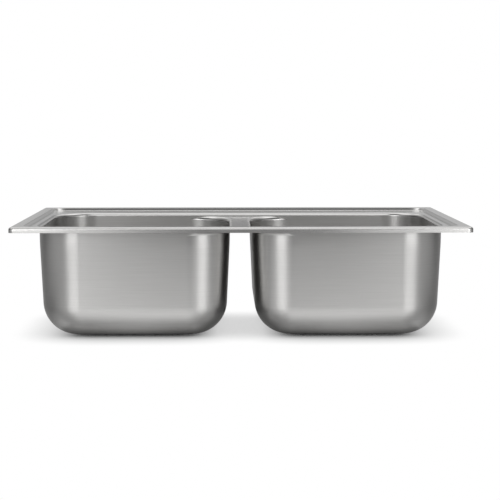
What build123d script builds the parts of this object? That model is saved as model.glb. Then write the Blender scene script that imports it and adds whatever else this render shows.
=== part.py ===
from build123d import *
import os

# Double bowl kitchen sink, drop-in, pressed from stainless sheet.
# +X to the right, +Y to the back, +Z up. The origin is under the middle of the rim, at floor level.
# All lengths are in millimetres and all angles in degrees.

# rim and deck
sinkWidth = 838.0
sinkDepth = 559.0
sinkHeight = 213.5
sheet = 1.0
rimCornerR = 10.0
rimRollR = 4.5
lipHeight = 10.0
bandWidth = 22.0
stepWidth = 4.0
stepDrop = 5.0
stepCornerR = 30.0
mouthRollR = 6.0
mouthWall = 0.5

# bowls, measured on their inner faces at the mouth
bowlWidth = 354.0
bowlLength = 403.0
bowlCornerR = 79.0
bowlDraft = 2.4
bowlFloorR = 61.0
dividerWidth = 43.0
dividerRollR = 8.0
weldBelowRoll = 0.5
frontMargin = 46.0

# pressed seat round each drain hole
drainHoleR = 45.0
seatFloorR = 55.0
seatFlare = 3.0
seatDrop = 4.0

# soft strip and clip rails under the rim
sealInset = 5.0
sealWidth = 5.0
sealProud = 0.5
railInset = 12.0
railWidth = 8.0
railHeight = 7.0
railSheet = 1.0
longRailLength = 700.0
shortRailLength = 420.0

# sound pads under the bowls
padThickness = 3.0
padWidth = 190.0
padLength = 240.0
padCornerR = 20.0
padHoleGap = 4.0

# lift-out strainers
strainerR = 53.0
strainerSheet = 1.0
strainerEdge = 1.8
ringInnerR = 46.5
ringOuterR = 52.5
ringThickness = 1.2
postR = 3.0
postHeadR = 5.5
postHeadHeight = 0.9
postAbovePlate = 16.0
holeR = 2.5
holeRingR = 14.0
holeRingStep = 7.0
holeRings = 4
holesPerRing = 6

# press-down stoppers
stopperTravel = 7.0
sealDiscR = 41.0
sealDiscThickness = 1.5
capR = 40.0
capThickness = 1.0
spigotR = 5.0
knobStemR = 6.5
knobStemHeight = 9.0
knobTopR = 11.0
knobTopHeight = 9.0
knobEdgeR = 3.0
gripOuterR = 4.4
gripHeight = 2.0
gripAboveCap = 1.5

# clearances
runGap = 0.05
seatGap = 0.3
overcut = 5.0

# heights that several pieces share
bandTop = sinkHeight
lipBottom = bandTop - lipHeight
deckTop = bandTop - stepDrop
dividerTop = deckTop - mouthRollR - mouthWall
weldPlane = dividerTop - dividerRollR - weldBelowRoll
seatBottom = 0.0
seatTop = seatBottom + sheet
bowlBottom = seatBottom + seatDrop
bowlFloor = bowlBottom + sheet
bandUnder = bandTop - sheet

# plan positions that several pieces share
bowlX = (dividerWidth + bowlWidth) / 2
bowlY = -sinkDepth / 2 + frontMargin + bowlLength / 2
mouthWidth = dividerWidth + 2 * bowlWidth


def plate(width, length, radius, z0, z1, x=0.0, y=0.0):
    outline = RectangleRounded(width, length, radius)
    return Pos(x, y, z0) * extrude(outline, amount=z1 - z0)


def block(width, length, z0, z1, x=0.0, y=0.0):
    return Pos(x, y, (z0 + z1) / 2) * Box(width, length, z1 - z0)


def disc(radius, z0, z1, x=0.0, y=0.0):
    return Pos(x, y, (z0 + z1) / 2) * Cylinder(radius, z1 - z0)


def washer(inner, outer, z0, z1, x=0.0, y=0.0):
    return disc(outer, z0, z1, x, y) - disc(inner, z0 - overcut, z1 + overcut, x, y)


def edges_at(shape, z, half_x, half_y, y=0.0):
    # the edges that lie in one level plane, inside a rectangle about (0, y)
    found = []
    for edge in shape.edges():
        box = edge.bounding_box()
        level = abs(box.min.Z - z) < 0.001 and abs(box.max.Z - z) < 0.001
        inside = max(abs(box.min.X), abs(box.max.X)) < half_x
        near = max(abs(box.min.Y - y), abs(box.max.Y - y)) < half_y
        if level and inside and near:
            found.append(edge)
    return found


def flared_void(grow):
    # the mouth of one bowl, grown sideways, with its rolled edge, about the origin of the bowl
    top = dividerTop - grow
    wide = bowlWidth + 2 * grow
    long = bowlLength + 2 * grow
    margin = 2 * dividerRollR
    cover = block(wide + 2 * margin, long + 2 * margin, weldPlane, top)
    hole = plate(wide, long, bowlCornerR + grow, weldPlane - overcut, top + overcut)
    ring = cover - hole
    mouth = edges_at(ring, top, wide / 2 + 1, long / 2 + 1)
    ring = fillet(mouth, dividerRollR - grow)
    return cover - ring


def under_surface(grow):
    # the solid below one face of the sheet: grow is 0 for the upper face and the sheet for the lower
    body = plate(sinkWidth - 2 * grow, sinkDepth - 2 * grow, rimCornerR - grow, weldPlane, bandTop - grow)
    rim = edges_at(body, bandTop - grow, sinkWidth, sinkDepth)
    body = fillet(rim, rimRollR - grow)
    pocket = RectangleRounded(
        sinkWidth - 2 * bandWidth + 2 * grow,
        sinkDepth - 2 * bandWidth + 2 * grow,
        stepCornerR + grow,
    )
    floor = RectangleRounded(
        sinkWidth - 2 * bandWidth - 2 * stepWidth + 2 * grow,
        sinkDepth - 2 * bandWidth - 2 * stepWidth + 2 * grow,
        stepCornerR - stepWidth + grow,
    )
    sunk = loft([Pos(0, 0, deckTop - grow) * floor, Pos(0, 0, bandTop - grow) * pocket], ruled=True)
    body = body - sunk
    wide = mouthWidth + 2 * grow
    long = bowlLength + 2 * grow
    mouth = plate(wide, long, bowlCornerR + grow, weldPlane - overcut, bandTop, 0, bowlY)
    body = body - mouth
    edge = edges_at(body, deckTop - grow, wide / 2 + 1, long / 2 + 1, bowlY)
    body = fillet(edge, mouthRollR - grow)
    reach = dividerWidth + 2 * bowlCornerR
    divider = block(reach, long, weldPlane, dividerTop - grow, 0, bowlY)
    for side in (-1, 1):
        divider = divider - Pos(side * bowlX, bowlY, 0) * flared_void(grow)
    return body + divider


def make_deck():
    skin = under_surface(0.0) - under_surface(sheet)
    keep = block(sinkWidth + overcut, sinkDepth + overcut, lipBottom, bandTop + overcut)
    inner = 2 * (bandWidth + stepWidth)
    keep = keep + block(sinkWidth - inner, sinkDepth - inner, weldPlane, lipBottom + sheet)
    return skin & keep


def bowl_body(grow):
    # one bowl's inside face for grow 0, its outside face for grow equal to the sheet
    outline = RectangleRounded(bowlWidth + 2 * grow, bowlLength + 2 * grow, bowlCornerR + grow)
    deep = weldPlane - bowlFloor + grow
    body = Pos(0, 0, weldPlane) * extrude(outline, amount=deep, dir=(0, 0, -1), taper=bowlDraft)
    low = edges_at(body, bowlFloor - grow, bowlWidth, bowlLength)
    return fillet(low, bowlFloorR + grow)


def make_bowl(side):
    x = side * bowlX
    flare = seatFloorR + seatFlare
    outside = bowl_body(sheet)
    outside = outside + Pos(0, 0, (seatBottom + bowlBottom + sheet / 2) / 2) * Cone(
        seatFloorR + sheet, flare + sheet, bowlBottom + sheet / 2 - seatBottom
    )
    inside = bowl_body(0.0)
    inside = inside + Pos(0, 0, (seatTop + bowlFloor + sheet / 2) / 2) * Cone(
        seatFloorR, flare, bowlFloor + sheet / 2 - seatTop
    )
    bowl = outside - inside - disc(drainHoleR, seatBottom - overcut, seatTop + overcut)
    return Pos(x, bowlY, 0) * bowl


def make_rim_seal():
    low = lipBottom - sealProud
    outer = 2 * sealInset
    inner = 2 * (sealInset + sealWidth)
    strip = plate(sinkWidth - outer, sinkDepth - outer, rimCornerR, low, bandUnder)
    core = plate(sinkWidth - inner, sinkDepth - inner, rimCornerR - sealWidth, low - overcut, bandUnder + overcut)
    return strip - core


def make_rail(length, x, y, turn):
    low = bandUnder - railHeight
    rail = block(length, railWidth, low, bandUnder)
    rail = rail - block(length + overcut, railWidth - 2 * railSheet, low - overcut, bandUnder - railSheet)
    return Pos(x, y, 0) * Rot(0, 0, turn) * rail


def make_pad(side):
    x = side * bowlX
    low = bowlBottom - padThickness
    pad = plate(padWidth, padLength, padCornerR, low, bowlBottom)
    pad = pad - disc(seatFloorR + seatFlare + sheet + padHoleGap, low - overcut, bowlBottom + overcut)
    return Pos(x, bowlY, 0) * pad


# heights inside one strainer
plateUnder = seatTop + ringThickness
plateTop = plateUnder + strainerSheet
sealUnder = plateTop + seatGap + stopperTravel
capUnder = sealUnder + sealDiscThickness
capTop = capUnder + capThickness
stemTop = capTop + knobStemHeight
knobTop = stemTop + knobTopHeight
gripLow = capTop + gripAboveCap
boreTop = plateTop + postAbovePlate + stopperTravel + 3 * seatGap


def make_strainer_ring(side):
    return washer(ringInnerR, ringOuterR, seatTop, plateUnder, side * bowlX, bowlY)


def make_strainer_plate(side):
    body = disc(strainerR, plateUnder, plateTop)
    body = body + washer(strainerR - strainerSheet, strainerR, plateUnder, plateTop + strainerEdge)
    holes = disc(postR + runGap, plateUnder - overcut, plateTop + overcut)
    for ring in range(holeRings):
        radius = holeRingR + ring * holeRingStep
        count = holesPerRing * (ring + 1)
        spots = PolarLocations(radius, count)
        holes = holes + [spot * disc(holeR, plateUnder - overcut, plateTop + overcut) for spot in spots]
    return Pos(side * bowlX, bowlY, 0) * (body - holes)


def make_post(side):
    post = disc(postR, plateUnder - postHeadHeight, plateTop + postAbovePlate)
    post = post + disc(postHeadR, plateUnder - postHeadHeight, plateUnder)
    return Pos(side * bowlX, bowlY, 0) * post


def make_stopper_seal(side):
    return washer(spigotR + runGap, sealDiscR, sealUnder, capUnder, side * bowlX, bowlY)


def make_stopper_cap(side):
    return washer(spigotR + runGap, capR, capUnder, capTop, side * bowlX, bowlY)


def make_knob(side):
    knob = disc(spigotR, sealUnder + seatGap, capTop)
    knob = knob + disc(knobStemR, capTop, stemTop)
    head = disc(knobTopR, stemTop, knobTop)
    head = fillet(head.edges().filter_by(GeomType.CIRCLE), knobEdgeR)
    knob = knob + head
    knob = knob - disc(postR + runGap, sealUnder - overcut, boreTop)
    knob = knob - disc(gripOuterR, gripLow, gripLow + gripHeight)
    return Pos(side * bowlX, bowlY, 0) * knob


def make_grip_ring(side):
    return washer(postR + runGap, gripOuterR, gripLow, gripLow + gripHeight, side * bowlX, bowlY)


railMid = railInset + railWidth / 2
pieces = {
    "sink_deck": make_deck(),
    "rim_seal": make_rim_seal(),
    "front_rail": make_rail(longRailLength, 0, railMid - sinkDepth / 2, 0),
    "rear_rail": make_rail(longRailLength, 0, sinkDepth / 2 - railMid, 0),
    "left_rail": make_rail(shortRailLength, railMid - sinkWidth / 2, 0, 90),
    "right_rail": make_rail(shortRailLength, sinkWidth / 2 - railMid, 0, 90),
}
for name, side in (("left", -1), ("right", 1)):
    pieces[name + "_bowl"] = make_bowl(side)
    pieces[name + "_sound_pad"] = make_pad(side)
    pieces[name + "_strainer_ring"] = make_strainer_ring(side)
    pieces[name + "_strainer_plate"] = make_strainer_plate(side)
    pieces[name + "_post"] = make_post(side)
    pieces[name + "_stopper_seal"] = make_stopper_seal(side)
    pieces[name + "_stopper_cap"] = make_stopper_cap(side)
    pieces[name + "_knob"] = make_knob(side)
    pieces[name + "_grip_ring"] = make_grip_ring(side)

os.makedirs("parts", exist_ok=True)
for name, piece in pieces.items():
    export_step(piece, "parts/" + name + ".step")
    print(name, len(piece.solids()), round(piece.volume, 1))
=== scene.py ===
import bpy
import bmesh
import math
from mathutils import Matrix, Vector


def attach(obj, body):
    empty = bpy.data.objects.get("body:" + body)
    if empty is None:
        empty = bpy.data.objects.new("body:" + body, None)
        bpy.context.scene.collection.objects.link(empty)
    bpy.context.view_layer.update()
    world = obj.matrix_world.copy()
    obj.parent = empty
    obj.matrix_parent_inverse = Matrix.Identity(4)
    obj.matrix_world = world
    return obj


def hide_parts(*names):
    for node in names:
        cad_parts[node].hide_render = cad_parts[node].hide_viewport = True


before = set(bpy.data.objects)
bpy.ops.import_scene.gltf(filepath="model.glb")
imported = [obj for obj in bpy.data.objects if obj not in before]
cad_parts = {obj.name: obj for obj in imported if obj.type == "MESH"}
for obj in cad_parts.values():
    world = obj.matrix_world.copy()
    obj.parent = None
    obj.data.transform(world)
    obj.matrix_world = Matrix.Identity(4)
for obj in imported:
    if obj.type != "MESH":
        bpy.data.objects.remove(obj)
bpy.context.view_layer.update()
print("frame loaded:", len(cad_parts), "pieces")

mm = 0.001  # sizes are in millimetres, meshes in metres


def newObject(name, mesh, body, material):
    piece = bpy.data.objects.new(name, mesh)
    bpy.context.scene.collection.objects.link(piece)
    piece.data.materials.clear()
    piece.data.materials.append(material)
    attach(piece, body)
    return piece


# finishes: what each one looks like, then how it is made
deckFinish = {
    "color": (0.60, 0.595, 0.586), "colorVariation": 0.03,
    "roughness": 0.19, "roughnessVariation": 0.03, "anisotropy": 0.6,
    "grainLength": 9.0,       # noise cells per metre along the brushing
    "grainFineness": 2600.0,  # noise cells per metre across it
    "streakFineness": 420.0,  # the same for the broader streaks
    "streakShare": 0.6,       # their share of the tint
    "wearCells": 5.0,         # noise cells per metre of the change in roughness
    "bump": 0.012, "bumpDepth": 0.0004,
}
bowlFinish = dict(deckFinish, roughness=0.30, anisotropy=0.5)

steelGrain = {
    "metallic": 1.0, "detail": 2.0, "bumpDepth": 0.0004,
    "colorRange": (0.93, 1.05), "roughnessRange": (0.8, 1.25),
}
softGrain = {
    "metallic": 0.0, "detail": 5.0, "bumpDepth": 0.0006,
    "colorRange": (0.7, 1.35), "roughnessRange": (0.9, 1.1),
}
# cells are noise cells per metre along X, Y and Z
brightSteel = dict(
    steelGrain, color=(0.62, 0.615, 0.605), roughness=0.16, bump=0.02, cells=(500.0, 500.0, 500.0))
railSteel = dict(
    steelGrain, color=(0.42, 0.42, 0.415), roughness=0.42, bump=0.05, cells=(12.0, 12.0, 900.0))
blackRubber = dict(
    softGrain, color=(0.018, 0.018, 0.019), roughness=0.62, bump=0.12, cells=(700.0, 700.0, 700.0))
foamStrip = dict(
    softGrain, color=(0.03, 0.03, 0.032), roughness=0.9, bump=0.35, cells=(1400.0, 1400.0, 1400.0))
padCoat = dict(
    softGrain, color=(0.16, 0.16, 0.165), roughness=0.82, bump=0.5, cells=(420.0, 420.0, 420.0))
noiseMiddle = (0.3, 0.7)  # where most of a noise's values are


def calc(tree, kind, a, b=None):
    # one Math node, whose inputs are numbers or sockets
    node = tree.nodes.new("ShaderNodeMath")
    node.operation = kind
    for socket, value in zip(node.inputs, (a, b)):
        if value is None:
            continue
        if isinstance(value, (int, float)):
            socket.default_value = value
        else:
            tree.links.new(value, socket)
    return node.outputs[0]


def startMaterial(name):
    material = bpy.data.materials.new(name)
    material.use_nodes = True
    tree = material.node_tree
    tree.nodes.clear()
    output = tree.nodes.new("ShaderNodeOutputMaterial")
    shader = tree.nodes.new("ShaderNodeBsdfPrincipled")
    tree.links.new(shader.outputs["BSDF"], output.inputs["Surface"])
    return material, tree, shader


def stretchedNoise(tree, cells, detail, rough=0.55):
    place = tree.nodes.new("ShaderNodeTexCoord")
    stretch = tree.nodes.new("ShaderNodeMapping")
    stretch.inputs["Scale"].default_value = cells
    noise = tree.nodes.new("ShaderNodeTexNoise")
    noise.inputs["Scale"].default_value = 1.0
    noise.inputs["Detail"].default_value = detail
    noise.inputs["Roughness"].default_value = rough
    tree.links.new(place.outputs["Object"], stretch.inputs["Vector"])
    tree.links.new(stretch.outputs["Vector"], noise.inputs["Vector"])
    return noise.outputs["Fac"]


def spread(tree, source, low, high):
    # maps the middle of a noise to a range of values
    ramp = tree.nodes.new("ShaderNodeMapRange")
    ramp.inputs["From Min"].default_value = noiseMiddle[0]
    ramp.inputs["From Max"].default_value = noiseMiddle[1]
    ramp.inputs["To Min"].default_value = low
    ramp.inputs["To Max"].default_value = high
    tree.links.new(source, ramp.inputs["Value"])
    return ramp.outputs["Result"]


def addTint(tree, shader, dark, light, source):
    tint = tree.nodes.new("ShaderNodeMix")
    tint.data_type = "RGBA"
    tint.inputs["A"].default_value = (*dark, 1.0)
    tint.inputs["B"].default_value = (*light, 1.0)
    tree.links.new(spread(tree, source, 0.0, 1.0), tint.inputs["Factor"])
    tree.links.new(tint.outputs["Result"], shader.inputs["Base Color"])


def addBump(tree, shader, values, source):
    bump = tree.nodes.new("ShaderNodeBump")
    bump.inputs["Strength"].default_value = values["bump"]
    bump.inputs["Distance"].default_value = values["bumpDepth"]
    tree.links.new(source, bump.inputs["Height"])
    tree.links.new(bump.outputs["Normal"], shader.inputs["Normal"])


def brushedSteel(name, values, grain, brushedRound):
    # sheet brushed round one axis, with fine grain, broader streaks and slight wear
    material, tree, shader = startMaterial(name)
    shader.inputs["Metallic"].default_value = 1.0
    shader.inputs["Anisotropic"].default_value = values["anisotropy"]
    shader.inputs["Anisotropic Rotation"].default_value = 0.25  # a quarter turn
    tangent = tree.nodes.new("ShaderNodeTangent")
    tangent.direction_type = "RADIAL"
    tangent.axis = brushedRound
    tree.links.new(tangent.outputs["Tangent"], shader.inputs["Tangent"])
    fine = stretchedNoise(tree, grain, detail=4.0, rough=0.6)
    broader = [min(cells, values["streakFineness"]) for cells in grain]
    streaks = stretchedNoise(tree, broader, detail=3.0, rough=0.6)
    wear = stretchedNoise(tree, [values["wearCells"]] * 3, detail=3.0, rough=0.5)
    share = values["streakShare"]
    mixed = calc(tree, "ADD", calc(tree, "MULTIPLY", fine, 1 - share),
                 calc(tree, "MULTIPLY", streaks, share))
    change = values["colorVariation"]
    dark = [part - change for part in values["color"]]
    light = [part + change for part in values["color"]]
    addTint(tree, shader, dark, light, mixed)
    soft = values["roughness"]
    half = values["roughnessVariation"] * 0.5
    worn = calc(tree, "ADD", spread(tree, fine, soft - half, soft + half), spread(tree, wear, -half, half))
    tree.links.new(worn, shader.inputs["Roughness"])
    addBump(tree, shader, values, fine)
    return material


def grainyStuff(name, values):
    # polished or rolled steel, rubber, foam and coating: one noise for tint, roughness and bump
    material, tree, shader = startMaterial(name)
    shader.inputs["Metallic"].default_value = values["metallic"]
    grain = stretchedNoise(tree, values["cells"], values["detail"])
    low, high = values["colorRange"]
    dark = [part * low for part in values["color"]]
    light = [part * high for part in values["color"]]
    addTint(tree, shader, dark, light, grain)
    low, high = values["roughnessRange"]
    soft = values["roughness"]
    tree.links.new(spread(tree, grain, soft * low, soft * high), shader.inputs["Roughness"])
    addBump(tree, shader, values, grain)
    return material


long, fine = deckFinish["grainLength"], deckFinish["grainFineness"]
deckSteel = brushedSteel("deckSatinSteel", deckFinish, (long, fine, fine), "X")
bowlSteel = brushedSteel("bowlSatinSteel", bowlFinish, (long, long, fine), "Z")
polishedSteel = grainyStuff("polishedSteel", brightSteel)
channelSteel = grainyStuff("railSteel", railSteel)
rubber = grainyStuff("blackRubber", blackRubber)
foam = grainyStuff("sealFoam", foamStrip)
coat = grainyStuff("padCoat", padCoat)
print("materials made")


def inMetres(x, y, z):
    return Vector((x * mm, y * mm, z * mm))


def evenShares(parts):
    return [k / parts for k in range(parts + 1)]


def roundedRing(width, length, radius, z, x=0.0, y=0.0, longShares=None, sideShares=None, arcSteps=16):
    # one closed level ring, anticlockwise from above, from the right end of the rear side
    longShares = longShares or evenShares(8)
    sideShares = sideShares or evenShares(8)
    halfX = width / 2 - radius
    halfY = length / 2 - radius
    points = []

    def corner(cornerX, cornerY, start):
        for k in range(1, arcSteps):
            a = math.radians(start + 90 * k / arcSteps)
            points.append((cornerX + radius * math.cos(a), cornerY + radius * math.sin(a)))

    points += [(halfX - 2 * halfX * share, halfY + radius) for share in longShares]
    corner(-halfX, halfY, 90)
    points += [(-halfX - radius, halfY - 2 * halfY * share) for share in sideShares]
    corner(-halfX, -halfY, 180)
    points += [(-halfX + 2 * halfX * share, -halfY - radius) for share in longShares]
    corner(halfX, -halfY, 270)
    points += [(halfX + radius, -halfY + 2 * halfY * share) for share in sideShares]
    corner(halfX, halfY, 0)
    return [inMetres(px + x, py + y, z) for px, py in points]


def addRing(bm, ring):
    return [bm.verts.new(point) for point in ring]


def joinRings(bm, upper, lower):
    # a strip of faces between two rings with the same number of corners
    count = len(upper)
    for k in range(count):
        n = (k + 1) % count
        bm.faces.new((upper[k], lower[k], lower[n], upper[n]))


def filletPoints(start, corner, end, radius, steps):
    # a rounded corner between two straight runs of a profile, as points of the same kind
    a = Vector(start) - Vector(corner)
    b = Vector(end) - Vector(corner)
    a.normalize()
    b.normalize()
    half = a.angle(b) / 2
    reach = radius / math.tan(half)
    middle = Vector(corner) + (a + b).normalized() * (radius / math.sin(half))
    first = Vector(corner) + a * reach - middle
    last = Vector(corner) + b * reach - middle
    turn = first.angle(last)
    points = []
    for t in evenShares(steps):
        w0 = math.sin((1 - t) * turn) / math.sin(turn)
        w1 = math.sin(t * turn) / math.sin(turn)
        points.append(tuple(middle + first * w0 + last * w1))
    return points


def easedProfile(points, radius, steps=4):
    # rounds each corner of a closed profile, but takes at most a share of its shorter side
    greatestShare, leastRadius = 0.42, 0.01
    done = []
    count = len(points)
    for k in range(count):
        before, here, after = points[k - 1], points[k], points[(k + 1) % count]
        shortest = min((Vector(here) - Vector(before)).length, (Vector(here) - Vector(after)).length)
        a = (Vector(before) - Vector(here)).normalized()
        b = (Vector(after) - Vector(here)).normalized()
        size = min(radius, shortest * greatestShare * math.tan(a.angle(b) / 2))
        if here[0] <= 0.0 or size < leastRadius:
            done.append(here)
        else:
            done += filletPoints(before, here, after, size, steps)
    return done


def bakeModifiers(piece):
    bpy.context.view_layer.update()
    graph = bpy.context.evaluated_depsgraph_get()
    done = bpy.data.meshes.new_from_object(piece.evaluated_get(graph), depsgraph=graph)
    piece.modifiers.clear()
    old = piece.data
    piece.data = done
    bpy.data.meshes.remove(old)


def smoothMesh(name, bm):
    mesh = bpy.data.meshes.new(name)
    bm.to_mesh(mesh)
    bm.free()
    for face in mesh.polygons:
        face.use_smooth = True
    return mesh


# mesh cleaning: gaps in millimetres, and the turn in degrees from which an edge stays sharp
sheetMesh = {"gap": 0.004, "sliver": 0.002, "sharpFrom": 40.0, "flatWeight": 60}
solidMesh = {"gap": 0.001, "sharpFrom": 50.0, "flatWeight": 50}


def finishEdges(piece, sharpFrom, weight):
    # marks the sharp edges, and keeps flat faces flat beside roundings
    limit = math.radians(sharpFrom)
    bm = bmesh.new()
    bm.from_mesh(piece.data)
    for edge in bm.edges:
        edge.smooth = len(edge.link_faces) == 2 and edge.calc_face_angle(0.0) < limit
    bm.to_mesh(piece.data)
    bm.free()
    weighted = piece.modifiers.new("flatNormals", "WEIGHTED_NORMAL")
    weighted.mode = "FACE_AREA"
    weighted.weight = weight
    weighted.keep_sharp = True
    bakeModifiers(piece)


def finishSolid(name, bm, body, material, sharpFrom=solidMesh["sharpFrom"]):
    bmesh.ops.remove_doubles(bm, verts=bm.verts, dist=solidMesh["gap"] * mm)
    bmesh.ops.recalc_face_normals(bm, faces=bm.faces)
    if bm.calc_volume(signed=True) < 0:
        bmesh.ops.reverse_faces(bm, faces=bm.faces)
    piece = newObject(name, smoothMesh(name, bm), body, material)
    finishEdges(piece, sharpFrom, solidMesh["flatWeight"])
    return piece


# the pressed sheet: deck and bowls
deck = {
    "width": 838.0, "depth": 559.0, "top": 213.5, "sheet": 1.0,
    "cornerRadius": 10.0, "rollRadius": 4.5, "rollMargin": 0.6, "lipHeight": 10.0,
    "bandWidth": 22.0, "stepWidth": 4.0, "stepDrop": 5.0, "stepCornerRadius": 30.0,
    "stepEdgeRadius": 1.4, "stepMargin": 2.5,
    "mouthRollRadius": 6.0, "mouthMargin": 1.2, "mouthWall": 0.5,
}
# how many parts its curves and straight runs are divided into
deckSteps = {
    "roll": 12, "stepEdge": 5, "mouthRoll": 14, "mouthLong": 6, "mouthSide": 10,
    "dividerCrease": 10, "dividerCorner": 18, "dividerSide": 8, "dividerRoll": 10,
}

bowl = {
    "width": 354.0, "length": 403.0, "cornerRadius": 79.0, "draft": 2.4, "floorRadius": 61.0,
    "dividerWidth": 43.0, "dividerRoll": 8.0, "weldBelowRoll": 0.5, "frontMargin": 46.0,
    "wallEase": 24.0,  # the wall turns from upright to drawn-in over this height
    "floorMargin": 4.0, "holeRadius": 45.0, "holeMargin": 1.0,
    "seatRadius": 55.0, "seatFlare": 3.0, "seatDrop": 4.0, "seatEdgeRadius": 1.2,
}
bowlSteps = {"arc": 28, "ease": 6, "wall": 6, "floor": 22, "seatEdge": 5}

deckLevel = deck["top"] - deck["stepDrop"]
dividerLevel = deckLevel - deck["mouthRollRadius"] - deck["mouthWall"]
rollFoot = dividerLevel - bowl["dividerRoll"]
weldLevel = rollFoot - bowl["weldBelowRoll"]
bowlX = (bowl["dividerWidth"] + bowl["width"]) / 2
bowlY = -deck["depth"] / 2 + bowl["frontMargin"] + bowl["length"] / 2
mouthWidth = bowl["dividerWidth"] + 2 * bowl["width"]
# the bowl corners beside the divider: their middle, and the turn from which the divider's roll is whole
dividerCornerX = bowl["dividerWidth"] / 2 + bowl["cornerRadius"]
fullTurn = math.acos(bowl["cornerRadius"] / (bowl["cornerRadius"] + bowl["dividerRoll"]))


def sheetObject(name, bm, material, backMaterial=None):
    # the faces made so far are the sheet's upper side, and its thickness goes below them
    bmesh.ops.remove_doubles(bm, verts=bm.verts, dist=sheetMesh["gap"] * mm)
    bmesh.ops.dissolve_degenerate(bm, edges=bm.edges, dist=sheetMesh["sliver"] * mm)
    bmesh.ops.recalc_face_normals(bm, faces=bm.faces)
    widest = max(bm.faces, key=lambda face: abs(face.normal.z) * face.calc_area())
    if widest.normal.z < 0:
        bmesh.ops.reverse_faces(bm, faces=bm.faces)
    mesh = smoothMesh(name, bm)
    finishes = [face.material_index for face in mesh.polygons]
    piece = newObject(name, mesh, "sink", material)
    if backMaterial:
        piece.data.materials.append(backMaterial)
    for face, finish in zip(mesh.polygons, finishes):
        face.material_index = finish
    wall = piece.modifiers.new("wall", "SOLIDIFY")
    wall.thickness = deck["sheet"] * mm
    wall.offset = -1.0
    wall.use_even_offset = True
    wall.use_quality_normals = True
    wall.material_offset = 1 if backMaterial else 0
    bakeModifiers(piece)
    finishEdges(piece, sheetMesh["sharpFrom"], sheetMesh["flatWeight"])
    return piece


def dividerColumn(bm, outline, normal, turn):
    # down the divider's roll to the weld; the outline is on the inside face of the bowl
    roll = bowl["dividerRoll"]
    column = []
    for share in evenShares(deckSteps["dividerRoll"]):
        a = turn * (1 - share)
        out = roll * (1 - math.cos(a))
        x = outline[0] + normal[0] * out
        y = outline[1] + normal[1] * out
        column.append(bm.verts.new(inMetres(x, y, rollFoot + roll * math.sin(a))))
    column.append(bm.verts.new(inMetres(outline[0], outline[1], weldLevel)))
    return column


def dividerColumns(bm, side, creases):
    # columns along the divider side of one bowl, from the rear wall to the front wall
    radius = bowl["cornerRadius"]
    roll = bowl["dividerRoll"]
    centreX = side * dividerCornerX
    rearY = bowlY + bowl["length"] / 2 - radius
    frontY = bowlY - bowl["length"] / 2 + radius
    cornerShares = evenShares(deckSteps["dividerCorner"])[1:]
    angles = creases + [fullTurn + (math.pi / 2 - fullTurn) * t for t in cornerShares]
    places = []
    for a in angles:
        normal = (-side * math.sin(a), math.cos(a))
        places.append(((centreX + radius * normal[0], rearY + radius * normal[1]), normal, a))
    for t in evenShares(deckSteps["dividerSide"])[1:-1]:
        outline = (centreX - side * radius, rearY + (frontY - rearY) * t)
        places.append((outline, (-side, 0.0), math.pi / 2))
    for a in reversed(angles):
        normal = (-side * math.sin(a), -math.cos(a))
        places.append(((centreX + radius * normal[0], frontY + radius * normal[1]), normal, a))
    columns = []
    for outline, normal, a in places:
        reach = radius * (1 / math.cos(a) - 1) if a < fullTurn else roll
        turn = math.acos(max(0.0, 1 - min(reach, roll) / roll))
        columns.append(dividerColumn(bm, outline, normal, turn))
    return columns


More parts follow.
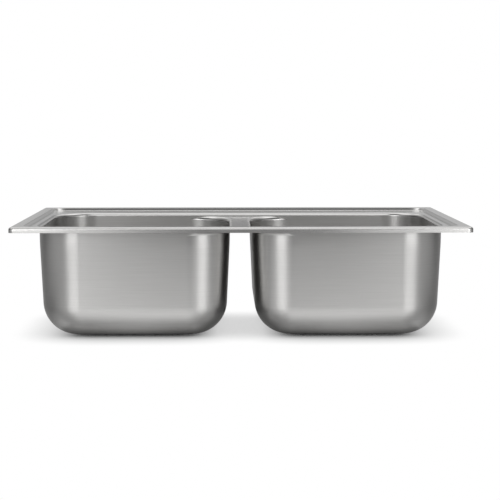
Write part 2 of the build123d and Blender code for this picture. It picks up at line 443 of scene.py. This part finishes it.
def makeDeck():
    bm = bmesh.new()
    radius = bowl["cornerRadius"]
    arcs = bowlSteps["arc"]
    creases = [fullTurn * share for share in evenShares(deckSteps["dividerCrease"])]
    halfX = mouthWidth / 2 - radius
    # points along the mouth's long sides: even steps beside each bowl, then one for each column of the divider
    bowlShares = evenShares(deckSteps["mouthLong"])[:-1]
    stops = [halfX - (halfX - dividerCornerX) * share for share in bowlShares]
    stops += [dividerCornerX - radius * math.tan(a) for a in creases]
    shares = [(halfX - value) / (2 * halfX) for value in stops + [-value for value in reversed(stops)]]
    sides = evenShares(deckSteps["mouthSide"])

    def outerRing(inset, z, corner):
        wide, tall = deck["width"] - 2 * inset, deck["depth"] - 2 * inset
        return addRing(bm, roundedRing(wide, tall, corner, z, 0, 0, shares, sides, arcs))

    def mouthRing(grow, z):
        wide, tall = mouthWidth + 2 * grow, bowl["length"] + 2 * grow
        return addRing(bm, roundedRing(wide, tall, radius + grow, z, 0, bowlY, shares, sides, arcs))

    # the lip, its roll and the flat band
    top = deck["top"]
    edgeRoll = deck["rollRadius"]
    rings = [outerRing(0, top - deck["lipHeight"], deck["cornerRadius"])]
    for share in evenShares(deckSteps["roll"]):
        a = math.radians(90 * share)
        inset = edgeRoll * (1 - math.cos(a))
        z = top - edgeRoll + edgeRoll * math.sin(a)
        rings.append(outerRing(inset, z, deck["cornerRadius"] - inset))
    rings.append(outerRing(edgeRoll + deck["rollMargin"], top, deck["cornerRadius"] - edgeRoll))
    # the step, with both of its edges eased
    inner = deck["bandWidth"]
    foot = inner + deck["stepWidth"]
    margin = deck["stepMargin"]
    easing, edgeSteps = deck["stepEdgeRadius"], deckSteps["stepEdge"]
    step = [(inner - margin, top)]
    step += filletPoints((inner - margin, top), (inner, top), (foot, deckLevel), easing, edgeSteps)
    step += filletPoints((inner, top), (foot, deckLevel), (foot + margin, deckLevel), easing, edgeSteps)
    step += [(foot + margin, deckLevel)]
    for inset, z in step:
        rings.append(outerRing(inset, z, deck["stepCornerRadius"] - (inset - inner)))
    # the roll round the mouth of both bowls
    roll = deck["mouthRollRadius"]
    rings.append(mouthRing(roll + deck["mouthMargin"], deckLevel))
    for share in evenShares(deckSteps["mouthRoll"]):
        a = math.radians(90 - 90 * share)
        rings.append(mouthRing(roll * (1 - math.cos(a)), deckLevel - roll + roll * math.sin(a)))
    for outer, within in zip(rings, rings[1:]):
        joinRings(bm, within, outer)

    # the divider: its two sides and its flat top
    leftColumns = dividerColumns(bm, -1, creases)
    rightColumns = dividerColumns(bm, 1, creases)
    for side, columns in ((1, rightColumns), (-1, leftColumns)):
        for first, second in zip(columns, columns[1:]):
            for k in range(len(first) - 1):
                face = (first[k], first[k + 1], second[k + 1], second[k])
                bm.faces.new(face if side > 0 else face[::-1])
    for k in range(len(creases) - 1, len(rightColumns) - len(creases)):
        bm.faces.new((rightColumns[k][0], rightColumns[k + 1][0],
                      leftColumns[k + 1][0], leftColumns[k][0]))

    # straight walls from the mouth's roll down to the divider, or past it to the weld
    wallRing = rings[-1]
    count = len(wallRing)
    longCount = len(shares)
    bowlPart = len(stops)  # points on one long side that belong to one bowl
    frontStart = longCount + (arcs - 1) + len(sides) + (arcs - 1)
    crease = len(stops) - len(creases)  # where the divider's columns start

    def dividerVert(k):
        # the top of the divider's column at a point of the ring, where there is one
        rear = k < longCount
        if not rear and not frontStart <= k < frontStart + longCount:
            return None
        i = k if rear else k - frontStart
        j = i if i < bowlPart else longCount - 1 - i
        if j < crease:
            return None
        columns = rightColumns if (i < bowlPart) == rear else leftColumns
        return columns[j - crease if rear else len(columns) - 1 - (j - crease)][0]

    def satinFace(*corners):
        bm.faces.new(corners).material_index = 1  # the bowls' finish

    lower = []
    for k in range(count):
        vert = dividerVert(k)
        point = wallRing[k].co
        lower.append((vert or bm.verts.new((point.x, point.y, rollFoot * mm)), vert is not None))
    weld = {}
    for k in range(count):
        n = (k + 1) % count
        a, b = lower[k][0], lower[n][0]
        satinFace(wallRing[k], wallRing[n], b, a)
        if lower[k][1] and lower[n][1]:
            continue
        for index, vert in ((k, a), (n, b)):
            if index not in weld:
                weld[index] = bm.verts.new((vert.co.x, vert.co.y, weldLevel * mm))
        satinFace(a, b, weld[n], weld[k])
    return sheetObject("sinkDeck", bm, deckSteel, bowlSteel)


def bowlProfile():
    # (inset, z) down the inside of a bowl wall, from the weld to the flat floor
    floor = bowl["seatDrop"] + deck["sheet"]
    start = math.radians(bowl["draft"])
    slope = math.tan(start)
    radius = bowl["floorRadius"]
    centreZ = floor + radius
    centreInset = (weldLevel - centreZ) * slope + radius / math.cos(start)
    ease = bowl["wallEase"]
    points = []
    for k in range(bowlSteps["ease"] + 1):
        drop = ease * k / bowlSteps["ease"]
        points.append((slope * drop * drop / (2 * ease), weldLevel - drop))
    # the drawn-in wall joins the true slope again by the start of the floor's curve
    shift = slope * ease / 2
    wallFoot = centreZ - radius * math.sin(start)
    wallTop = weldLevel - ease
    for k in range(1, bowlSteps["wall"]):
        z = wallTop + (wallFoot - wallTop) * k / bowlSteps["wall"]
        share = (wallTop - z) / (wallTop - wallFoot)
        points.append(((weldLevel - z) * slope - shift * (1 - share), z))
    for k in range(bowlSteps["floor"] + 1):
        a = start + (math.pi / 2 - start) * k / bowlSteps["floor"]
        points.append((centreInset - radius * math.cos(a), centreZ - radius * math.sin(a)))
    return points, floor


def makeBowl(name, side):
    bm = bmesh.new()
    x = side * bowlX
    points, floor = bowlProfile()

    def bowlRing(inset, margin, z):
        return addRing(bm, roundedRing(
            bowl["width"] - 2 * inset - 2 * margin, bowl["length"] - 2 * inset - 2 * margin,
            bowl["cornerRadius"] - inset - margin / 2, z, x, bowlY, arcSteps=bowlSteps["arc"]))

    rings = [bowlRing(inset, 0.0, z) for inset, z in points]
    rings.append(bowlRing(points[-1][0], bowl["floorMargin"], floor))
    # the pressed seat and the edge of the drain hole
    seat = bowl["seatRadius"]
    flare = seat + bowl["seatFlare"]
    margin = bowl["floorMargin"]
    low = deck["sheet"]
    easing, edgeSteps = bowl["seatEdgeRadius"], bowlSteps["seatEdge"]
    profile = [(flare + margin, floor)]
    profile += filletPoints((flare + margin, floor), (flare, floor), (seat, low), easing, edgeSteps)
    profile += filletPoints((flare, floor), (seat, low), (seat - margin, low), easing, edgeSteps)
    profile += [(bowl["holeRadius"] + bowl["holeMargin"], low), (bowl["holeRadius"], low)]
    angles = [math.atan2(vert.co.y / mm - bowlY, vert.co.x / mm - x) for vert in rings[0]]
    for radius, z in profile:
        rings.append(addRing(bm, [
            inMetres(x + radius * math.cos(a), bowlY + radius * math.sin(a), z) for a in angles]))
    for outer, within in zip(rings, rings[1:]):
        joinRings(bm, within, outer)
    return sheetObject(name, bm, bowlSteel)


sinkDeck = makeDeck()
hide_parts("sink_deck")
leftBowl = makeBowl("leftBowl", -1)
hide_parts("left_bowl")
rightBowl = makeBowl("rightBowl", 1)
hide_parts("right_bowl")
print("deck and bowls made")

# the lift-out strainers and their stoppers
strainer = {
    "plateRadius": 53.0, "plateSheet": 1.0, "plateEdge": 1.8, "plateLevel": 2.2,
    "postRadius": 3.0, "postTop": 19.2, "postHeadRadius": 5.5, "postHeadHeight": 0.9,
    "holeRadius": 2.5, "firstRing": 14.0, "ringStep": 7.0, "rings": 4, "holesPerRing": 6,
    "holeSides": 24, "postHoleSides": 32, "plateSides": 144, "weldGap": 0.01,
    "ringInner": 46.5, "ringOuter": 52.5, "ringThickness": 1.2, "running": 0.05,
}

stopper = {
    "sealRadius": 41.0, "sealLevel": 10.5, "sealThickness": 1.5,
    "capRadius": 40.0, "capThickness": 1.0, "spigotRadius": 5.0, "spigotLift": 0.3,
    "stemRadius": 6.5, "stemHeight": 9.0,
    "headRadius": 11.0, "headHeight": 9.0, "headEdge": 3.0, "headSteps": 8,
    "boreTop": 27.1, "gripRadius": 4.4, "gripHeight": 2.0, "gripAboveCap": 1.5,
}


def tubeProfile(inner, outer, low, high):
    return [(inner, low), (outer, low), (outer, high), (inner, high)]


def turnedPiece(name, profile, x, y, body, material, segments=96, softness=0.25):
    # a closed (r, z) profile turned about an upright axis
    bm = bmesh.new()
    rings = []
    for r, z in easedProfile(profile, softness):
        if r <= 0.0:
            rings.append([bm.verts.new(inMetres(x, y, z))] * segments)
            continue
        turns = [2 * math.pi * k / segments for k in range(segments)]
        rings.append(addRing(bm, [inMetres(x + r * math.cos(a), y + r * math.sin(a), z) for a in turns]))
    for k in range(len(rings)):
        upper, lower = rings[k], rings[(k + 1) % len(rings)]
        for j in range(segments):
            n = (j + 1) % segments
            corners = []
            for vert in (upper[j], lower[j], lower[n], upper[n]):
                if vert not in corners:
                    corners.append(vert)
            if len(corners) > 2:
                bm.faces.new(corners)
    return finishSolid(name, bm, body, material)


def addInput(tree, name, kind, value):
    socket = tree.interface.new_socket(name, in_out="INPUT", socket_type=kind)
    socket.default_value = value


def perforatedPlateTree(material):
    # a round plate with rings of drain holes and a hole for the post
    tree = bpy.data.node_groups.new("perforatedPlate", "GeometryNodeTree")
    tree.interface.new_socket("Geometry", in_out="INPUT", socket_type="NodeSocketGeometry")
    tree.interface.new_socket("Geometry", in_out="OUTPUT", socket_type="NodeSocketGeometry")
    for name, value in (
        ("Plate Radius", strainer["plateRadius"] * mm), ("Hole Radius", strainer["holeRadius"] * mm),
        ("First Ring Radius", strainer["firstRing"] * mm), ("Ring Step", strainer["ringStep"] * mm),
        ("Post Hole Radius", (strainer["postRadius"] + strainer["running"]) * mm),
        ("Thickness", strainer["plateSheet"] * mm),
    ):
        addInput(tree, name, "NodeSocketFloat", value)
    addInput(tree, "Holes In First Ring", "NodeSocketInt", strainer["holesPerRing"])
    addInput(tree, "Rings", "NodeSocketInt", strainer["rings"])
    link = tree.links.new
    make = tree.nodes.new
    given = make("NodeGroupInput").outputs
    first = given["Holes In First Ring"]

    def add(a, b):
        return calc(tree, "ADD", a, b)

    def times(a, b):
        return calc(tree, "MULTIPLY", a, b)

    def holesIn(rings):
        # ring n holds n + 1 times the holes of the first ring
        return times(first, times(rings, times(add(rings, 1), 0.5)))

    # the hole centres: the ring number comes from the index, by the inverse of that sum
    spots = make("GeometryNodeMeshLine")
    link(holesIn(given["Rings"]), spots.inputs["Count"])
    spots.inputs["Offset"].default_value = (0, 0, 0)
    index = make("GeometryNodeInputIndex").outputs[0]
    root = calc(tree, "SQRT", add(times(calc(tree, "DIVIDE", add(index, 0.5), first), 8), 1))
    ring = calc(tree, "FLOOR", times(calc(tree, "SUBTRACT", root, 1), 0.5))
    within = calc(tree, "SUBTRACT", index, holesIn(ring))
    angle = times(calc(tree, "DIVIDE", within, times(first, add(ring, 1))), 2 * math.pi)
    radius = add(given["First Ring Radius"], times(ring, given["Ring Step"]))
    place = make("ShaderNodeCombineXYZ")
    link(times(radius, calc(tree, "COSINE", angle)), place.inputs["X"])
    link(times(radius, calc(tree, "SINE", angle)), place.inputs["Y"])
    setPlace = make("GeometryNodeSetPosition")
    link(spots.outputs["Mesh"], setPlace.inputs["Geometry"])
    link(place.outputs["Vector"], setPlace.inputs["Position"])

    def circle(radiusSocket, sides):
        node = make("GeometryNodeCurvePrimitiveCircle")
        node.mode = "RADIUS"
        node.inputs["Resolution"].default_value = sides
        link(radiusSocket, node.inputs["Radius"])
        return node.outputs["Curve"]

    holes = make("GeometryNodeInstanceOnPoints")
    link(setPlace.outputs["Geometry"], holes.inputs["Points"])
    link(circle(given["Hole Radius"], strainer["holeSides"]), holes.inputs["Instance"])
    realHoles = make("GeometryNodeRealizeInstances")
    link(holes.outputs["Instances"], realHoles.inputs["Geometry"])
    outlines = make("GeometryNodeJoinGeometry")
    link(realHoles.outputs["Geometry"], outlines.inputs["Geometry"])
    link(circle(given["Post Hole Radius"], strainer["postHoleSides"]), outlines.inputs["Geometry"])
    link(circle(given["Plate Radius"], strainer["plateSides"]), outlines.inputs["Geometry"])
    # filled, and given its thickness
    fill = make("GeometryNodeFillCurve")
    link(outlines.outputs["Geometry"], fill.inputs["Curve"])
    raised = make("GeometryNodeExtrudeMesh")
    raised.mode = "FACES"
    raised.inputs["Individual"].default_value = False
    link(fill.outputs["Mesh"], raised.inputs["Mesh"])
    up = make("ShaderNodeCombineXYZ")
    link(given["Thickness"], up.inputs["Z"])
    link(up.outputs["Vector"], raised.inputs["Offset"])
    flipped = make("GeometryNodeFlipFaces")
    link(fill.outputs["Mesh"], flipped.inputs["Mesh"])
    whole = make("GeometryNodeJoinGeometry")
    link(raised.outputs["Mesh"], whole.inputs["Geometry"])
    link(flipped.outputs["Mesh"], whole.inputs["Geometry"])
    welded = make("GeometryNodeMergeByDistance")
    welded.inputs["Distance"].default_value = strainer["weldGap"] * mm
    link(whole.outputs["Geometry"], welded.inputs["Geometry"])
    real = make("GeometryNodeRealizeInstances")
    link(welded.outputs["Geometry"], real.inputs["Geometry"])
    finish = make("GeometryNodeSetMaterial")
    finish.inputs["Material"].default_value = material
    link(real.outputs["Geometry"], finish.inputs["Geometry"])
    link(finish.outputs["Geometry"], make("NodeGroupOutput").inputs["Geometry"])
    return tree


def makeStrainer(side, sign, plateTree):
    x, y = sign * bowlX, bowlY
    body = side + "_strainer"
    low = strainer["plateLevel"]
    top = low + strainer["plateSheet"]
    # the perforated plate is grown at the middle of the scene and then moved to its drain
    maker = bpy.data.objects.new(side + "PlateMaker", bpy.data.meshes.new(side + "StrainerPlate"))
    bpy.context.scene.collection.objects.link(maker)
    grow = maker.modifiers.new("perforations", "NODES")
    grow.node_group = plateTree
    bpy.context.view_layer.update()
    graph = bpy.context.evaluated_depsgraph_get()
    flat = bpy.data.meshes.new_from_object(maker.evaluated_get(graph), depsgraph=graph)
    maker.modifiers.clear()
    bpy.data.objects.remove(maker)
    bm = bmesh.new()
    bm.from_mesh(flat)
    bmesh.ops.translate(bm, verts=bm.verts, vec=inMetres(x, y, low))
    bpy.data.meshes.remove(flat)
    plate = finishSolid(side + "StrainerPlate", bm, body, polishedSteel)
    edge = strainer["plateRadius"]
    rim = turnedPiece(
        side + "StrainerRim",
        tubeProfile(edge - strainer["plateSheet"], edge, top, top + strainer["plateEdge"]),
        x, y, body, polishedSteel, segments=144)
    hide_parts(side + "_strainer_plate")
    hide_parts(side + "_strainer_plate")
    ring = turnedPiece(
        side + "StrainerRing",
        tubeProfile(strainer["ringInner"], strainer["ringOuter"], low - strainer["ringThickness"], low),
        x, y, body, rubber, softness=0.3)
    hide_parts(side + "_strainer_ring")
    foot = low - strainer["postHeadHeight"]
    head, shank, tip = strainer["postHeadRadius"], strainer["postRadius"], strainer["postTop"]
    post = turnedPiece(
        side + "Post",
        [(0.0, foot), (head, foot), (head, low), (shank, low), (shank, tip), (0.0, tip)],
        x, y, body, polishedSteel, segments=48, softness=0.4)
    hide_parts(side + "_post")


def makeStopper(side, sign):
    x, y = sign * bowlX, bowlY
    body = side + "_stopper"
    hole = stopper["spigotRadius"] + strainer["running"]
    low = stopper["sealLevel"]
    capLow = low + stopper["sealThickness"]
    capTop = capLow + stopper["capThickness"]
    seal = turnedPiece(
        side + "StopperSeal", tubeProfile(hole, stopper["sealRadius"], low, capLow),
        x, y, body, rubber, segments=112, softness=0.5)
    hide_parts(side + "_stopper_seal")
    cap = turnedPiece(
        side + "StopperCap", tubeProfile(hole, stopper["capRadius"], capLow, capTop),
        x, y, body, polishedSteel, segments=112, softness=0.4)
    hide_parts(side + "_stopper_cap")
    # the knob: spigot, stem and rounded head, with the bore and the groove for the grip ring
    stem, head = stopper["stemRadius"], stopper["headRadius"]
    stemTop = capTop + stopper["stemHeight"]
    headTop = stemTop + stopper["headHeight"]
    bore, groove = strainer["postRadius"] + strainer["running"], stopper["gripRadius"]
    gripLow = capTop + stopper["gripAboveCap"]
    gripTop = gripLow + stopper["gripHeight"]
    spigotLow = low + stopper["spigotLift"]
    easing, steps = stopper["headEdge"], stopper["headSteps"]
    crown = filletPoints((stem, stemTop), (head, stemTop), (head, headTop), easing, steps)
    crown += filletPoints((head, stemTop), (head, headTop), (0, headTop), easing, steps)
    knob = turnedPiece(
        side + "Knob",
        [(bore, spigotLow), (stopper["spigotRadius"], spigotLow), (stopper["spigotRadius"], capTop),
         (stem, capTop), (stem, stemTop)] + crown
        + [(0.0, headTop), (0.0, stopper["boreTop"]), (bore, stopper["boreTop"]),
           (bore, gripTop), (groove, gripTop), (groove, gripLow), (bore, gripLow)],
        x, y, body, polishedSteel, segments=64, softness=0.2)
    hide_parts(side + "_knob")
    ring = turnedPiece(
        side + "GripRing", tubeProfile(bore, groove, gripLow, gripTop),
        x, y, body, rubber, segments=48, softness=0.5)
    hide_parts(side + "_grip_ring")


plateTree = perforatedPlateTree(polishedSteel)
for side, sign in (("left", -1), ("right", 1)):
    makeStrainer(side, sign, plateTree)
    makeStopper(side, sign)
print("strainers and stoppers made")

# what is under the rim and the bowls
underside = {
    "sealInset": 5.0, "sealWidth": 5.0, "sealProud": 0.5, "sealEasing": 1.2, "sealLeastCorner": 1.0,
    "railInset": 12.0, "railWidth": 8.0, "railHeight": 7.0, "railSheet": 1.0,
    "railEasing": 0.35, "railSteps": 3, "railSharpFrom": 30.0, "longRail": 700.0, "shortRail": 420.0,
    "padThickness": 3.0, "padWidth": 190.0, "padLength": 240.0, "padCorner": 20.0,
    "padHoleRadius": 63.0, "padEasing": 0.9, "padSteps": 4,
}


def ringSection(bm, sections):
    # closes a run of level rings into a solid ring
    made = [addRing(bm, ring) for ring in sections]
    for k in range(len(made)):
        joinRings(bm, made[k], made[(k + 1) % len(made)])


def makeRimSeal():
    bm = bmesh.new()
    low = deck["top"] - deck["lipHeight"] - underside["sealProud"]
    high = deck["top"] - deck["sheet"]
    outer = underside["sealInset"]
    inner = outer + underside["sealWidth"]
    sections = []
    for inset, z in easedProfile(tubeProfile(inner, outer, low, high), underside["sealEasing"]):
        corner = max(deck["cornerRadius"] - (inset - outer), underside["sealLeastCorner"])
        sections.append(roundedRing(deck["width"] - 2 * inset, deck["depth"] - 2 * inset, corner, z))
    ringSection(bm, sections)
    piece = finishSolid("rimSeal", bm, "sink", foam)
    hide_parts("rim_seal")


def makeRail(name, node, length, x, y, turned):
    bm = bmesh.new()
    high = deck["top"] - deck["sheet"]
    low = high - underside["railHeight"]
    half = underside["railWidth"] / 2
    wall = underside["railSheet"]
    section = easedProfile([
        (-half, low), (-half, high), (half, high), (half, low),
        (half - wall, low), (half - wall, high - wall), (wall - half, high - wall), (wall - half, low),
    ], underside["railEasing"], underside["railSteps"])
    ends = []
    for end in (-length / 2, length / 2):
        row = []
        for across, z in section:
            px, py = (across, end) if turned else (end, across)
            row.append(bm.verts.new(inMetres(x + px, y + py, z)))
        ends.append(row)
    joinRings(bm, *ends)
    bm.faces.new(ends[0])
    bm.faces.new(ends[1][::-1])
    piece = finishSolid(name, bm, "sink", channelSteel, underside["railSharpFrom"])
    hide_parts(node)


def makePad(name, node, sign):
    bm = bmesh.new()
    x, y = sign * bowlX, bowlY
    high = bowl["seatDrop"]
    low = high - underside["padThickness"]
    ease = underside["padEasing"]
    wide, tall, corner = underside["padWidth"], underside["padLength"], underside["padCorner"]
    angles = [math.atan2(p.y / mm - y, p.x / mm - x) for p in roundedRing(wide, tall, corner, low, x, y)]

    def outline(inset, z):
        return roundedRing(wide - 2 * inset, tall - 2 * inset, corner - inset, z, x, y)

    def hole(grow, z):
        r = underside["padHoleRadius"] + grow
        return [inMetres(x + r * math.cos(a), y + r * math.sin(a), z) for a in angles]

    # up the outside, over the top and down the hole, with the lower edges eased
    turns = [math.radians(90 * share) for share in evenShares(underside["padSteps"])]
    edge = [(ease * (1 - math.sin(a)), low + ease * (1 - math.cos(a))) for a in turns]
    sections = [outline(inset, z) for inset, z in edge]
    sections += [outline(0.0, high), hole(0.0, high)]
    sections += [hole(grow, z) for grow, z in reversed(edge)]
    ringSection(bm, sections)
    piece = finishSolid(name, bm, "sink", coat)
    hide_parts(node)


railMid = underside["railInset"] + underside["railWidth"] / 2
makeRimSeal()
makeRail("frontRail", "front_rail", underside["longRail"], 0, railMid - deck["depth"] / 2, False)
makeRail("rearRail", "rear_rail", underside["longRail"], 0, deck["depth"] / 2 - railMid, False)
makeRail("leftRail", "left_rail", underside["shortRail"], railMid - deck["width"] / 2, 0, True)
makeRail("rightRail", "right_rail", underside["shortRail"], deck["width"] / 2 - railMid, 0, True)
makePad("leftSoundPad", "left_sound_pad", -1)
makePad("rightSoundPad", "right_sound_pad", 1)
print("seal, rails and pads made")

# the surroundings: a floor, plain white when seen directly, that glows with painted light and painted shade in
# the steel's reflections, a pale room with a bright ceiling, and soft boxes in front at either side
# a pair is the range over which one brightness gives way to the next, in metres, in degrees from straight
# ahead, or for the room's ceiling in parts of a unit sphere
ground = {
    "reach": 8.0, "shadowReach": 0.085, "shadowSamples": 12,
    "shadowRange": (0.0, 0.92), "shadowPower": 0.50,
    # the floor's painted glow in the steel's reflections, with painted shade under the sink, by distance from
    # the middle of the sink
    "under": 0.14, "toNear": (0.18, 0.31), "near": 0.51, "toMiddle": (0.44, 0.62), "middle": 0.54,
    "toFar": (0.66, 0.96), "far": 0.05,
    # and by direction
    "toSide": (34, 75), "side": 0.14, "farSide": 0.29, "toRear": (80, 110), "farRear": 0.07,
    "gloss": 0.38, "roughness": 0.34,
}
room = {
    # the walls, by direction
    "front": 0.34, "toShoulder": (15, 45), "leftShoulder": 0.80, "rightShoulder": 0.75,
    "leftToRight": (-0.1, 0.1),  # this one is in radians
    "toSide": (55, 100), "side": 0.08, "toRear": (110, 168), "rear": 0.68, "toRearMiddle": (172, 177),
    "rearMiddle": 0.37,
    # the ceiling, by height, by distance to the side and from front to rear
    "toCeiling": (0.32, 0.50), "toOverhead": (0.71, 0.79), "overhead": 2.0,
    "ceiling": 1.6, "toCeilingSide": (0.22, 0.55), "ceilingSide": 0.6,
    "toFrontCeiling": (0.86, 0.93), "toFillSide": (14, 32), "frontFill": 1.8, "frontCeiling": 0.20,
    "frontToRear": (-0.25, 0.05),
}

# each soft box is a bright core with a low strip beside it, in front of a wide, tall and dim halo
softBoxes = {
    "leftCore": {"foot": (-0.76, -1.31), "lift": 0.13, "width": 0.64, "height": 0.50, "glow": 2.3},
    "leftStrip": {"foot": (-0.40, -1.48), "lift": 0.08, "width": 0.32, "height": 0.08, "glow": 0.6},
    "leftHalo": {"foot": (-0.75, -1.34), "lift": 0.01, "width": 1.10, "height": 0.90, "glow": 0.18},
    "rightCore": {"foot": (0.81, -1.13), "lift": 0.13, "width": 0.58, "height": 0.50, "glow": 2.25},
    "rightStrip": {"foot": (0.46, -1.35), "lift": 0.08, "width": 0.38, "height": 0.08, "glow": 0.7},
    "rightHalo": {"foot": (0.78, -1.12), "lift": 0.01, "width": 1.00, "height": 0.90, "glow": 0.20},
}


def ramped(tree, source, span, low, high):
    # a smooth change from low to high over the span, where both may be numbers or sockets
    node = tree.nodes.new("ShaderNodeMapRange")
    node.interpolation_type = "SMOOTHSTEP"
    for name, value in (("From Min", span[0]), ("From Max", span[1]), ("To Min", low), ("To Max", high)):
        if isinstance(value, (int, float)):
            node.inputs[name].default_value = value
        else:
            tree.links.new(value, node.inputs[name])
    tree.links.new(source, node.inputs["Value"])
    return node.outputs["Result"]


def inRadians(span):
    return [math.radians(degrees) for degrees in span]


def cameraSplit(tree, forCamera, forOthers, output):
    # the floor and the room look plain white when seen directly, and light the sink in another way
    path = tree.nodes.new("ShaderNodeLightPath")
    mix = tree.nodes.new("ShaderNodeMixShader")
    tree.links.new(path.outputs["Is Camera Ray"], mix.inputs["Fac"])
    tree.links.new(forOthers, mix.inputs[1])
    tree.links.new(forCamera, mix.inputs[2])
    tree.links.new(mix.outputs["Shader"], output.inputs["Surface"])


def directionOf(tree, coordinate):
    # a coordinate, its X, Y and Z, and its turn from straight ahead, which is -Y
    place = tree.nodes.new("ShaderNodeTexCoord")
    split = tree.nodes.new("ShaderNodeSeparateXYZ")
    tree.links.new(place.outputs[coordinate], split.inputs["Vector"])
    backwards = calc(tree, "MULTIPLY", split.outputs["Y"], -1.0)
    azimuth = calc(tree, "ARCTAN2", split.outputs["X"], backwards)
    return place.outputs[coordinate], split.outputs, azimuth


def makeFloor():
    mesh = bpy.data.meshes.new("floor")
    reach = ground["reach"]
    mesh.from_pydata([(-reach, -reach, 0), (reach, -reach, 0), (reach, reach, 0), (-reach, reach, 0)],
                     [], [(0, 1, 2, 3)])
    floor = bpy.data.objects.new("floor", mesh)
    bpy.context.scene.collection.objects.link(floor)
    material = bpy.data.materials.new("whiteFloor")
    material.use_nodes = True
    material.cycles.emission_sampling = "NONE"
    tree = material.node_tree
    tree.nodes.clear()
    link = tree.links.new
    output = tree.nodes.new("ShaderNodeOutputMaterial")
    # seen directly it is plain white with a soft contact shadow
    around = tree.nodes.new("ShaderNodeAmbientOcclusion")
    around.samples = ground["shadowSamples"]
    around.inputs["Distance"].default_value = ground["shadowReach"]
    low, high = ground["shadowRange"]
    shade = tree.nodes.new("ShaderNodeMapRange")
    shade.inputs["From Min"].default_value = low
    shade.inputs["From Max"].default_value = high
    link(around.outputs["AO"], shade.inputs["Value"])
    shadow = calc(tree, "POWER", shade.outputs["Result"], ground["shadowPower"])
    plain = tree.nodes.new("ShaderNodeEmission")
    link(shadow, plain.inputs["Strength"])
    # what the steel mirrors is slightly glossy and glows with painted light and painted shade: dark under the
    # sink, a painted pool of light just in front of it and dim beside it, and further away dark in front and
    # behind but lighter at the sides
    place, _, azimuth = directionOf(tree, "Object")
    away = tree.nodes.new("ShaderNodeVectorMath")
    away.operation = "LENGTH"
    link(place, away.inputs[0])
    distance = away.outputs["Value"]
    turned = calc(tree, "ABSOLUTE", azimuth)
    pale = ramped(tree, distance, ground["toNear"], ground["under"], ground["near"])
    pale = ramped(tree, distance, ground["toMiddle"], pale, ground["middle"])
    dim = ramped(tree, turned, inRadians(ground["toSide"]), 1.0, ground["side"])
    far = ramped(tree, turned, inRadians(ground["toSide"]), ground["far"], ground["farSide"])
    far = ramped(tree, turned, inRadians(ground["toRear"]), far, ground["farRear"])
    pale = ramped(tree, distance, ground["toFar"], calc(tree, "MULTIPLY", pale, dim), far)
    # the floor glows with this painted light though it is no lamp, darkened by the painted contact shadow
    floorGlow = tree.nodes.new("ShaderNodeEmission")
    link(calc(tree, "MULTIPLY", pale, shadow), floorGlow.inputs["Strength"])
    gloss = tree.nodes.new("ShaderNodeBsdfGlossy")
    share = ground["gloss"]
    gloss.inputs["Color"].default_value = (share, share, share, 1.0)
    gloss.inputs["Roughness"].default_value = ground["roughness"]
    both = tree.nodes.new("ShaderNodeAddShader")
    link(floorGlow.outputs["Emission"], both.inputs[0])
    link(gloss.outputs["BSDF"], both.inputs[1])
    cameraSplit(tree, plain.outputs["Emission"], both.outputs["Shader"], output)
    mesh.materials.append(material)


def makeRoom():
    world = bpy.data.worlds.new("paleRoom")
    world.use_nodes = True
    bpy.context.scene.world = world
    tree = world.node_tree
    tree.nodes.clear()
    output = tree.nodes.new("ShaderNodeOutputWorld")
    _, direction, azimuth = directionOf(tree, "Generated")
    turned = calc(tree, "ABSOLUTE", azimuth)
    height = direction["Z"]
    aside = calc(tree, "ABSOLUTE", direction["X"])
    shoulder = ramped(tree, azimuth, room["leftToRight"], room["leftShoulder"], room["rightShoulder"])
    level = ramped(tree, turned, inRadians(room["toShoulder"]), room["front"], shoulder)
    level = ramped(tree, turned, inRadians(room["toSide"]), level, room["side"])
    level = ramped(tree, turned, inRadians(room["toRear"]), level, room["rear"])
    level = ramped(tree, turned, inRadians(room["toRearMiddle"]), level, room["rearMiddle"])
    fill = ramped(tree, height, room["toFrontCeiling"], room["frontFill"], room["frontCeiling"])
    fill = ramped(tree, turned, inRadians(room["toFillSide"]), fill, room["frontCeiling"])
    ceiling = ramped(tree, height, room["toOverhead"], room["ceilingSide"], room["overhead"])
    ceiling = ramped(tree, aside, room["toCeilingSide"], room["ceiling"], ceiling)
    ceiling = ramped(tree, direction["Y"], room["frontToRear"], fill, ceiling)
    level = ramped(tree, height, room["toCeiling"], level, ceiling)
    glow = tree.nodes.new("ShaderNodeBackground")
    tree.links.new(level, glow.inputs["Strength"])
    seen = tree.nodes.new("ShaderNodeBackground")
    seen.inputs["Color"].default_value = (1, 1, 1, 1)
    cameraSplit(tree, seen.outputs["Background"], glow.outputs["Background"], output)


def makeSoftBox(name, values):
    lamp = bpy.data.lights.new(name, "AREA")
    lamp.shape = "RECTANGLE"
    lamp.size = values["width"]
    lamp.size_y = values["height"]
    lamp.energy = values["glow"] * math.pi * lamp.size * lamp.size_y
    box = bpy.data.objects.new(name, lamp)
    bpy.context.scene.collection.objects.link(box)
    x, y = values["foot"]
    box.location = (x, y, values["height"] / 2 + values["lift"])
    box.rotation_euler = Vector((-x, -y, 0)).to_track_quat("-Z", "Y").to_euler()  # faces the sink
    box.visible_camera = False


makeFloor()
makeRoom()
for part, values in softBoxes.items():
    makeSoftBox(part, values)

view = {
    "lens": 108.06, "sensor": 36.0, "reach": 50.0,
    "place": (-0.031, -2.9665, 0.4235), "pitch": 5.333, "yaw": 0.987,
}
camera = bpy.data.objects.new("camera", bpy.data.cameras.new("camera"))
bpy.context.scene.collection.objects.link(camera)
camera.data.sensor_width = view["sensor"]
camera.data.lens = view["lens"]
camera.data.clip_end = view["reach"]
camera.location = view["place"]
camera.rotation_euler = (math.radians(90 - view["pitch"]), 0, math.radians(-view["yaw"]))
bpy.context.scene.camera = camera
bpy.context.scene.view_settings.view_transform = "Standard"
print("room and camera placed")
